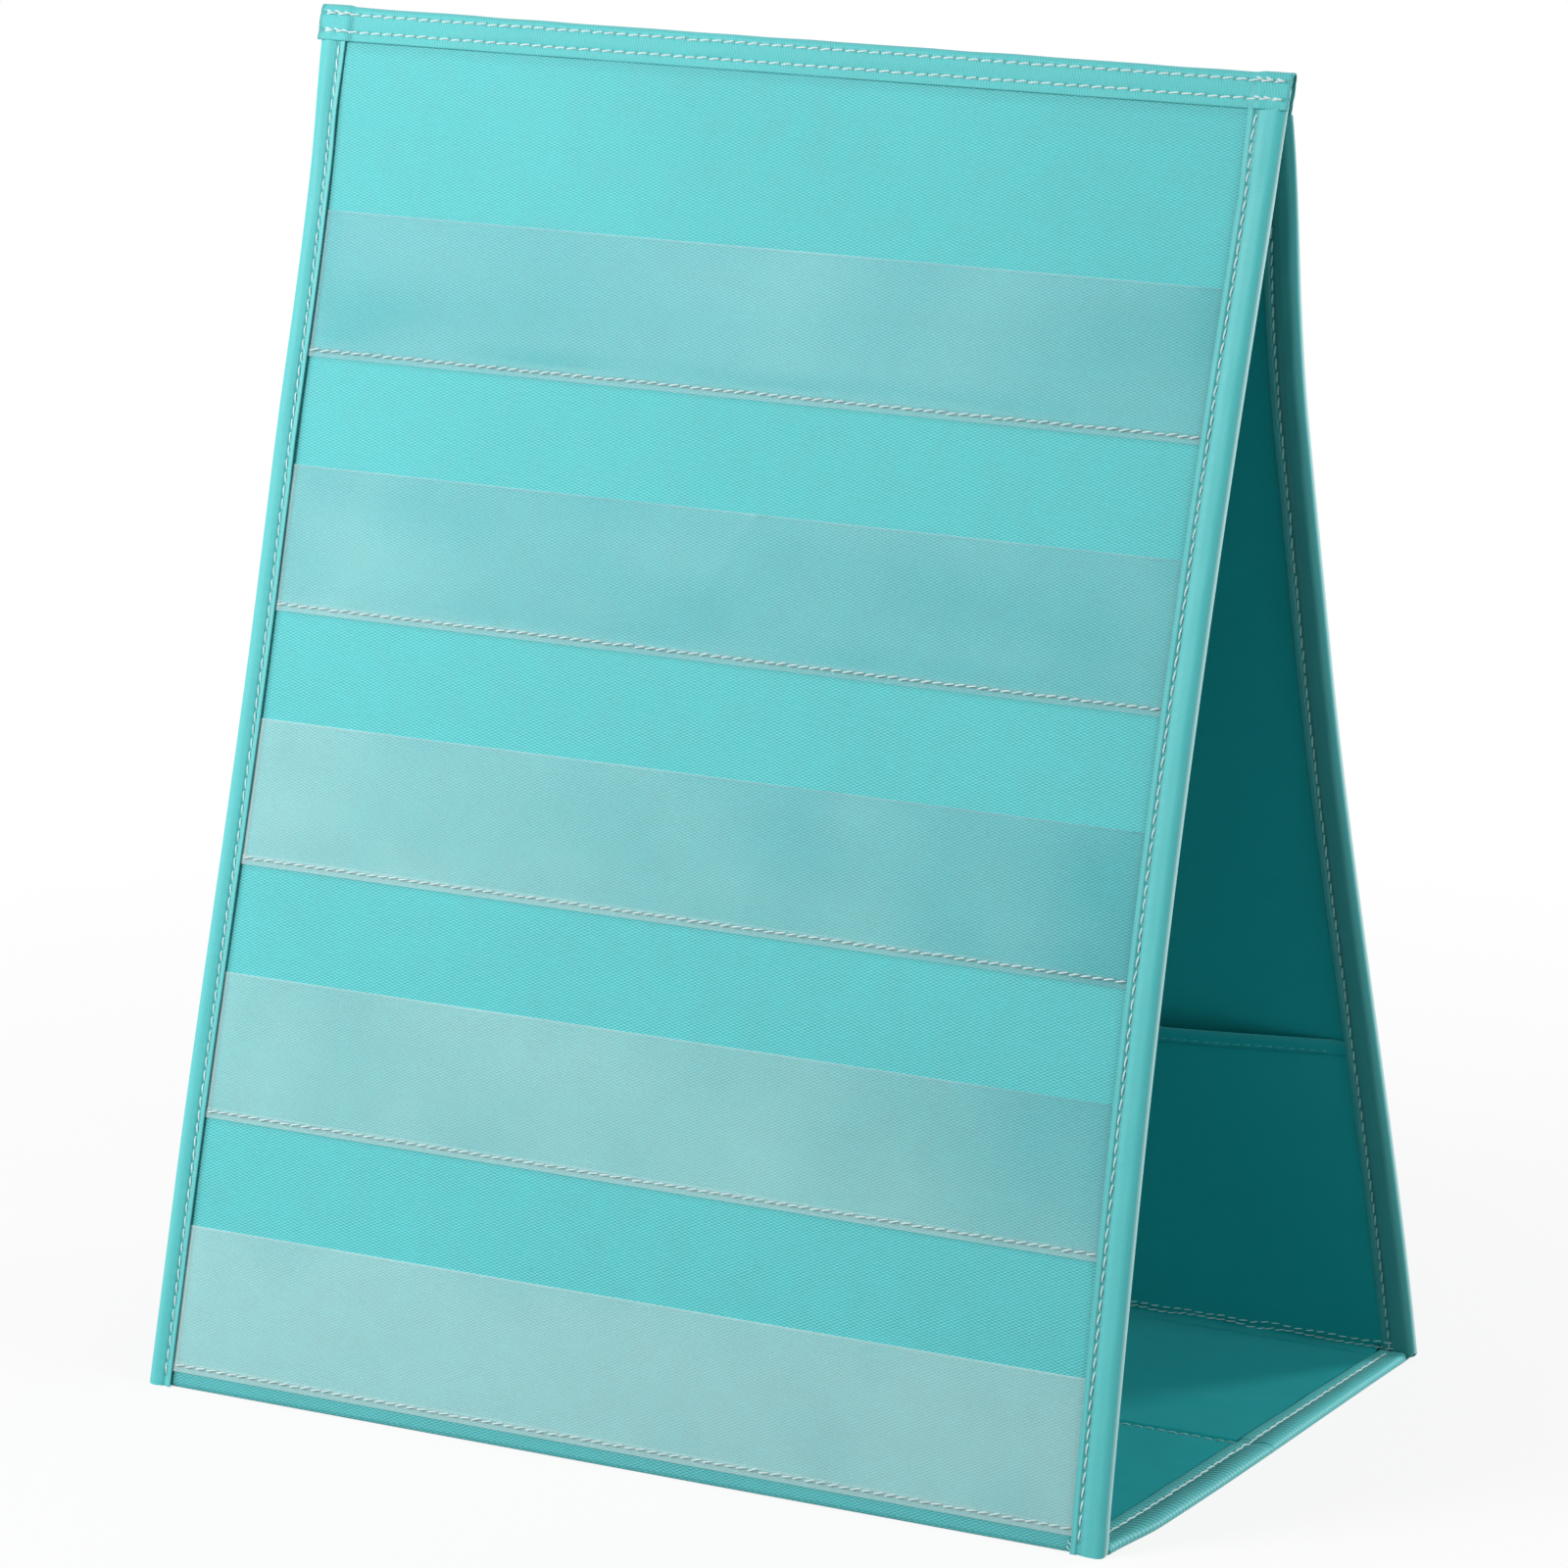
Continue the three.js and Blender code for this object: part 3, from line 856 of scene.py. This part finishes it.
def strip_line(panel):
    """The strip seen end-on: its distance from the middle of the base and its height."""
    rising = np.linspace(4.5, STRIP_TOP, 12)
    up_y = HALF_DEPTH - rising * math.sin(panel.lean) - STRIP_FACE * math.cos(panel.lean)
    up_z = rising * math.cos(panel.lean) - STRIP_FACE * math.sin(panel.lean)
    turn = np.linspace(0, 1, 8)[:-1]
    start = (STRIP_START + 3.2, BASE_TOP + 0.2)
    corner = (up_y[0] + 0.1, BASE_TOP + 0.25)
    curve_y, curve_z = (turned_corner(turn, *ends) for ends in zip(start, corner, (up_y[0], up_z[0])))
    flat_y = np.linspace(STRIP_START, start[0], 5)[:-1]
    flat_z = np.linspace(BASE_TOP + 0.06, start[1], 5)[:-1]
    return np.concatenate([flat_y, curve_y, up_y]), np.concatenate([flat_z, curve_z, up_z])


def corner_strip(panel, seed):
    """A strip of lining sewn along the foot of the panel's inner face and onto the base."""
    y, z = strip_line(panel)
    x, length = crossed(stations(-STRIP_HALF, STRIP_HALF, 2.5), run_length(y, z))
    free = smooth(0, 0.4, np.linspace(0, 1, len(z)))[:, None]
    lift = 0.1 + 0.12 * (1 + ripple(x, z[:, None], 30, seed)) * free
    outer = swept(panel, x, y, z, lift)
    inner = swept(panel, x, y, z, lift - STRIP_CLOTH)
    name = f"{panel.prefix}_corner_strip"
    # The tone is painted shade along the strip's upper edge on the lining
    piece = shell(name, outer, inner, x, length, LINING, tone=-0.3 * smooth(0.6, 0, length[-1] - length))
    near = (0, -panel.inward * 97.5, 2.7)
    far = (0, -panel.inward * 99.6, 5.8)
    bend = ("base_rear", panel.body, near, far) if panel is REAR else (panel.body, "base_front", far, near)
    attach(piece, "lining_fabric", bend)
    declare(length)
    for number, level in enumerate(STRIP_ROWS[panel.prefix]):
        def place(along, across, height):
            s = level + across + 0.35 * ripple(along, 0.0, 18, seed + number)
            return panel.place(along, s, PANEL_THICKNESS - 0.1 + height)
        stitch_row(f"{name}_stitches_{number + 1}", panel.body, place, -STRIP_HALF + 2, STRIP_HALF + 4,
                   3.3 + 0.4 * number, seed + 7 + number, slant=0.4, gap=0.05, radius=0.2)


# Clear film pockets
FILM_WALL = 0.16
FILM_TUCK = 1.5
FILM_LEFT = FACE_LEFT - FILM_TUCK
FILM_RIGHT = FACE_RIGHT + FILM_TUCK
FILM_DEPTH = 0.34
CREASED_FILM = 1
CREASE_TOP = (11.0, 42.0)
CREASE_FOOT = (-7.5, 12.0)
CREASE_HEIGHT = 0.18


def crease(x, up):
    """A faint fold across one film."""
    run = np.array(CREASE_TOP) - np.array(CREASE_FOOT)
    size = np.hypot(*run)
    x = x - CREASE_FOOT[0]
    up = up - CREASE_FOOT[1]
    off = (x * run[1] - up * run[0]) / size
    share = (x * run[0] + up * run[1]) / size**2
    return CREASE_HEIGHT * hump(off, 0, 1.4) * smooth(-0.1, 0.5, share)


def film_gap(x, up, seed):
    """How far the film stands off its seam's depth: most at the open upper edge."""
    inside = smooth(FILM_LEFT + 1.5, FILM_LEFT + 9, x) * smooth(FILM_RIGHT - 1.5, FILM_RIGHT - 9, x)
    wave = 0.6 + 0.3 * ripple(x, up, 75, seed)
    opening = 0.62 * np.maximum(wave, 0.15) * smooth(2, FILM_HEIGHT, up)
    belly = 0.18 * (1 + 0.5 * ripple(x, up * 2, 60, seed + 1)) * smooth(0, 8, up)
    hem = 0.14 * smooth(1.1, 0.5, up)
    return np.maximum(opening + belly, 0.05) * inside + hem


def lower_left(x, s):
    """0 at the upper right of the panel, rising to 1 towards its lower left."""
    return smooth(270, 90, s + 0.5 * x)


def film_painted_reflection(x, s):
    """How bright the film's haze is: a painted reflection, brighter towards the lower left and the foot,
    duller at the right middle and the upper left, and unevenly.
    """
    dull = smooth(80, 150, x) * hump(s, 140, 95)
    upper_left = smooth(20, -90, x) * smooth(290, 330, s)
    bright = 0.5 * lower_left(x, s) + 0.12 * smooth(70, 30, s)
    return 0.4 + bright - 0.3 * dull - 0.22 * upper_left + 0.05 * ripple(x, s, 70, 97)


def film_haze_and_painted_light(x, up, s):
    """How much of each side of the film shows: more at its hem, more towards the lower left and the foot,
    where it paints the film's reflection, and painted highlight lines along its top edge and beside the left
    binding.
    """
    hem = smooth(0.4, -0.3, up) * (0.75 + 0.25 * ripple(x, up, 40, 98))
    top = smooth(FILM_HEIGHT - 0.9, FILM_HEIGHT - 0.4, up)
    sides = hump(x, FACE_LEFT + 0.7, 0.8)
    return 0.125 + 0.06 * lower_left(x, s) + 0.04 * smooth(70, 30, s) + 0.04 * hem + 0.1 * top + 0.15 * sides


def film_pocket(panel, index, seed):
    x, up = crossed(stations(FILM_LEFT, FILM_RIGHT, 2.0, centres=[FACE_LEFT + 0.7], reach=2, fine=0.3),
                    stations(-FILM_HEM, FILM_HEIGHT, 1.6, centres=[0.4, FILM_HEIGHT], reach=3, fine=0.25))
    s = SEAMS[index] + up
    gap = film_gap(x, up, seed)
    if panel is FRONT and index == CREASED_FILM:
        gap = gap + crease(x, up)
    wall = FILM_WALL * (1 + 0.7 * smooth(1.1, 0.6, up))
    tone = film_painted_reflection(x, s) + 0.2 * smooth(0.4, -0.3, up)
    piece = panel_sheet(panel, f"{panel.prefix}_film_{index + 1}", x, s, FILM_DEPTH - gap, wall, FILM,
                        tone=tone, haze=film_haze_and_painted_light(x, up, s))
    attach(piece, "clear_film", panel.body, f"{panel.prefix}_clear_pocket_{index + 1}")
    declare(up)


# Storage pocket on the inner side of the rear panel
STORAGE_HALF = 146.5
STORAGE_TUCK = 4.0
STORAGE_FOOT = 6.0
STORAGE_TOP = 110.0
STORAGE_DEPTH = 3.5
STORAGE_BULGE = 7.6
STORAGE_HEM = STORAGE_TOP - 4.6


def storage_hem(s):
    """1 on the doubled hem, 0 below it."""
    return smooth(STORAGE_HEM - 0.4, STORAGE_HEM, s)


def storage_depth(x, s):
    """Depth of the pocket cloth's outer side: it bellies out between its sewn sides and foot."""
    share = np.clip((s - STORAGE_FOOT) / (STORAGE_TOP - STORAGE_FOOT), 0, 1)
    crown = 1 - np.minimum(abs(x) / STORAGE_HALF, 1) ** 3
    sag = 0.35 * hump(x, 60, 90) + 0.25 * ripple(x, s, 60, 91)
    belly = crown * (STORAGE_BULGE * share**1.25 + sag * smooth(0, 0.3, share))
    return STORAGE_DEPTH + CLOTH + belly + 0.25 * storage_hem(s)


def sunk_storage(x, s):
    """Where the pocket's cloth at s has sunk to, most at its open edge."""
    return s - 0.8 * hump(x, 40, 120) * smooth(STORAGE_FOOT, STORAGE_TOP, s)


def storage_pocket():
    edge = STORAGE_HALF + STORAGE_TUCK
    x, s = crossed(stations(-edge, edge, 2.2, centres=[-STORAGE_HALF, STORAGE_HALF], reach=20, fine=0.9),
                   stations(STORAGE_FOOT, STORAGE_TOP, 2.0, centres=[STORAGE_HEM], reach=3, fine=0.3))
    depth = storage_depth(x, s)
    outer = REAR.place(x, sunk_storage(x, s), depth)
    inner = REAR.place(x, sunk_storage(x, s), depth - CLOTH * (1 + storage_hem(s)))
    # Painted highlight along the pocket's open edge and painted shade just below its hem
    tone = 0.04 * hump(s, STORAGE_TOP, 1.2) - 0.2 * hump(s, STORAGE_HEM - 0.5, 0.8)
    piece = shell("storage_pocket_cloth", outer, inner, x, s, LINING, tone=tone)
    attach(piece, "lining_fabric", REAR.body, "storage_pocket")
    flatten(piece)
    declare(s)


# Stitches
SEAM_PITCH = 3.7
UNDER_LEVEL = 0.31
RINGS = 7
SIDES = 6


def unit(vectors):
    return vectors / np.linalg.norm(vectors, axis=-1, keepdims=True)


def stitch_row(name, body, place, start, end, pitch, seed, slant=0.35, rise=0.16, gap=0.2, radius=0.3,
               material=THREAD):
    """A row of stitches as short bowed tubes. place gives the point at along, across and height."""
    random = np.random.default_rng(seed)
    count = max(2, round((end - start) / pitch))
    step = (end - start) / count
    t = np.linspace(0, 1, RINGS)
    first = start + step * np.arange(count)[:, None]
    uneven = random.normal(0, 1, (3, count, 1))
    along = first + step * (gap / 2 + (1 - gap) * t) + 0.08 * uneven[0]
    across = slant * (1 + 0.2 * uneven[1]) * (smooth(0, 1, t) - 0.5) + 0.07 * uneven[2]
    height = (rise + radius) * np.sin(np.pi * np.clip(t, 0.02, 0.98)) ** 0.5 - radius * 0.9
    centre = place(along, across, height)
    ahead = unit(np.gradient(centre, axis=1))
    beside = unit(np.cross(ahead, place(along, across, height + 1.0) - centre))
    upward = np.cross(beside, ahead)
    angle = math.tau * np.arange(SIDES) / SIDES
    girth = (radius * (0.6 + 0.4 * np.sin(np.pi * t) ** 0.6))[None, :, None, None]
    circle = np.cos(angle)[:, None] * beside[:, :, None] + np.sin(angle)[:, None] * upward[:, :, None]
    points = (centre[:, :, None] + girth * circle).reshape(-1, 3)
    index = np.arange(count * RINGS * SIDES).reshape(count, RINGS, SIDES)
    turned = np.roll(index, -1, axis=2)
    sides = np.stack([index[:, :-1], turned[:, :-1], turned[:, 1:], index[:, 1:]], -1).reshape(-1, 4)
    faces = [*sides.tolist(), *index[:, 0, ::-1].tolist(), *index[:, -1].tolist()]
    flat = np.stack(np.broadcast_arrays((step * t)[:, None], angle * radius, index)[:2], -1).reshape(-1, 2)
    row = add_mesh(name, points, faces, flat, material)
    attach(row, "thread", body)
    return row


def panel_rows(panel, top, seed):
    """Stitches through both side bindings, shown on the outer and the inner face."""
    for label, side in EDGES.items():
        for face, (n, out) in FACES.items():
            seen = face == "outer"

            def place(along, across, height):
                x = side * (HALF - (BINDING_STITCH[label] - across) * spread(along, top))
                sunk = 0.12 + (0 if seen else 0.25 * smooth(FOOT_FADE, 0, along))
                return panel.place(x, along, n + out * (height - sunk))
            stitch_row(f"{panel.prefix}_{label}_stitches_{face}", panel.body, place, ROW_START,
                       ROW_END[panel.prefix], BINDING_PITCH, seed, gap=0.2 if seen else 0.12,
                       material=THREAD if seen else MUTED_THREAD)
            seed += 1


def top_rows():
    """Two rows along the top band on both faces, sewn back over themselves at the ends."""
    for label, drop in TOP_ROWS.items():
        for face, (n, out) in FACES.items():
            def place(along, across, height):
                raised = height + band_step(along) - 0.08
                return FRONT.place(along, FRONT_LENGTH - drop + across, n + out * raised)

            def place_again(along, across, height):
                return place(along, 0.5 - 1.4 * across, height + 0.14)
            name = f"top_{label}_stitches_{face}"
            seed = round(drop * 10) + out
            stitch_row(name, FRONT.body, place, -TOP_ROW_REACH, TOP_ROW_REACH, BINDING_PITCH, seed)
            for edge_label, side in EDGES.items():
                ends = sorted((side * (TOP_ROW_REACH - BACK_SEWN), side * (TOP_ROW_REACH - 0.3)))
                stitch_row(f"{name}_{edge_label}_end", FRONT.body, place_again, *ends, 3.2, seed + 3)


def rear_top_row():
    """The row that holds the rear panel's upper edge."""
    def place(along, across, height):
        return REAR.place(along, REAR_LENGTH - 3.2 + across, FACE_CLOTH_DEPTH - 0.1 - height)
    stitch_row("rear_top_stitches", REAR.body, place, FACE_LEFT + 0.6, FACE_RIGHT - 0.6, BINDING_PITCH, 240)


def thread_end():
    """A few cut ends of thread at the foot of the front panel's right binding."""
    def place(along, across, height):
        return FRONT.place(FACE_RIGHT - 0.3 - across, along, FACE_CLOTH_DEPTH - 0.3 - height)
    stitch_row("front_thread_end", FRONT.body, place, 0.6, 3.6, 1.5, 245, slant=1.3, rise=0.5, gap=0.0,
               radius=0.17)


def seam_rows(panel, seed):
    """The row that sews each film to the face cloth."""
    for index, seam in enumerate(SEAMS):
        def place(along, across, height):
            gap = film_gap(along, 0.0, seed + index)
            return panel.place(along, seam + across, FILM_DEPTH - gap - height)
        stitch_row(f"{panel.prefix}_seam_stitches_{index + 1}", panel.body, place, FACE_LEFT + 0.3,
                   FACE_RIGHT - 0.3, SEAM_PITCH, seed + index, slant=0.5, gap=0.14, radius=0.27)


def base_rows():
    """Stitches along the base's bindings, above and below, and across its middle fold."""
    for label, side in EDGES.items():
        for face in ("top", "under"):
            def place(along, across, height):
                at_ends = smooth(FOOT_END - FOOT_FADE, FOOT_END, abs(along))
                sunk = 0.1 + 0.25 * at_ends + 0.5 * hump(along, 0, 3.0)
                level = BASE_THICKNESS + height - sunk if face == "top" else UNDER_LEVEL - height
                return base_binding_place(side, BASE_STITCH - across, along, level)
            stitch_row(f"base_{label}_stitches_{face}", MIDDLE_BEND, place, -FOOT_END + 1.0, FOOT_END - 2.0,
                       BASE_PITCH, 200 + side, rise=0.16 if face == "top" else 0.02, gap=0.06, radius=0.27)

    def place_middle(along, across, height):
        y = across + 0.35
        return points_at(along, y, base_top_height(along, y) + height)
    stitch_row("base_middle_stitches", MIDDLE_BEND, place_middle, -150, 150, 3.8, 210, slant=0.3, gap=0.14,
               radius=0.22, material=MUTED_THREAD)


def storage_row():
    """A tone-on-tone row along the pocket's hem."""
    def place(along, across, height):
        s = STORAGE_HEM + 0.9 + across
        return REAR.place(along, sunk_storage(along, s), storage_depth(along, s) + height - 0.1)
    reach = STORAGE_HALF - 2.5
    flatten(stitch_row("storage_hem_stitches", REAR.body, place, -reach, reach, 3.4, 220, slant=0.2,
                       material=DARK_THREAD))


def dress_boards():
    """The base's boards keep their solids and get the board finish."""
    for node in ("base_front_board", "base_rear_board"):
        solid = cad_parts[node]
        solid.data.materials.clear()
        solid.data.materials.append(BOARD_CORE)


FRONT_TOP = FRONT_LENGTH - PANEL_THICKNESS / 2 - 0.6
REAR_TOP = REAR_LENGTH - 0.4
FRONT_BINDING_TOP = FRONT_LENGTH - 4.0

face_cloth(FRONT, FRONT_TOP, 11)
face_cloth(REAR, REAR_TOP, 12)
board_slab(FRONT, FRONT_LENGTH - BOARD_TOP_INSET)
board_slab(REAR, REAR_TOP - BOARD_INSET)
lining_cloth(FRONT, FRONT_TOP, 15)
lining_cloth(REAR, REAR_TOP, 17)
for number, edge_label in enumerate(EDGES):
    side_binding(FRONT, edge_label, FRONT_BINDING_TOP, 21 + number)
    side_binding(REAR, edge_label, REAR_TOP, 25 + number)
    base_binding(edge_label, 28 + number)
top_band()
base_cloths()
corner_strip(FRONT, 231)
corner_strip(REAR, 236)
for pocket in range(POCKETS):
    film_pocket(FRONT, pocket, 40 + pocket)
    film_pocket(REAR, pocket, 60 + pocket)
storage_pocket()
panel_rows(FRONT, FRONT_LENGTH - TOP_BAND_HEIGHT, 100)
panel_rows(REAR, REAR_TOP, 110)
top_rows()
rear_top_row()
thread_end()
seam_rows(FRONT, 40)
seam_rows(REAR, 60)
base_rows()
storage_row()
dress_boards()


# Floor, daylight and lamps
FLOOR_HALF = 6.0
FLOOR_LEVEL = -0.00005
FLOOR_GLOW = 0.86
FLOOR_FADE_START = 0.2
FLOOR_FADE_END = 0.7
FLOOR_SHADE = (0.38, 0.38, 0.38, 1)
FLOOR_WHITE = (0.9, 0.9, 0.9, 1)
AMBIENT = 0.17


def add_world():
    world = bpy.data.worlds.new("studio")
    bpy.context.scene.world = world
    shader = Shader(world)
    strength = shader.ramp(shader.seen_directly(), 0.0, 1.0, AMBIENT, 1.0)
    background = shader.node("Background", {"Color": WHITE, "Strength": strength})
    shader.node("OutputWorld", {"Surface": background.outputs[0]})


def add_floor():
    """A white table: its own shading shows faintly through a bright base tone."""
    shader = new_shader("floor")
    seen = shader.seen_directly()
    diffuse = shader.node("BsdfDiffuse", {"Color": shader.mix(seen, FLOOR_SHADE, FLOOR_WHITE)})
    glow = shader.node("Emission", {"Color": WHITE, "Strength": 1.0})
    away = shader.node("VectorMath", {0: shader.node("TexCoord", {}).outputs["Object"]}, operation="LENGTH")
    lift = shader.ramp(away.outputs["Value"], FLOOR_FADE_START, FLOOR_FADE_END, FLOOR_GLOW, 1.0)
    share = shader.math("MULTIPLY", seen, lift)
    mixed = shader.node("MixShader", {0: share, 1: diffuse.outputs[0], 2: glow.outputs[0]})
    shader.node("OutputMaterial", {"Surface": mixed.outputs[0]})
    mesh = bpy.data.meshes.new("floor")
    signs = ((-1, -1), (1, -1), (1, 1), (-1, 1))
    mesh.from_pydata([(a * FLOOR_HALF, b * FLOOR_HALF, FLOOR_LEVEL) for a, b in signs], [], [(0, 1, 2, 3)])
    mesh.materials.append(shader.owner)
    new_object("floor", mesh)


def add_lamp(name, place, aim, size, power):
    """A square soft lamp; places in metres, power in watts."""
    light = bpy.data.lights.new(name, "AREA")
    light.shape = "SQUARE"
    light.size = size
    light.energy = power
    lamp = new_object(name, light)
    lamp.location = place
    lamp.rotation_euler = (Vector(aim) - Vector(place)).to_track_quat("-Z", "Y").to_euler()


add_world()
add_floor()
add_lamp("key", (-0.78, -1.0, 0.88), (-0.05, 0, 0.25), 0.6, 16)
add_lamp("left", (-1.1, -0.5, 0.2), (-0.12, -0.1, 0.05), 0.5, 2.5)
add_lamp("side", (1.25, -0.1, 0.75), (0.05, 0, 0.05), 0.5, 6.5)
add_lamp("rim", (0.95, 1.15, 0.5), (0.1, 0, 0.2), 0.3, 9)
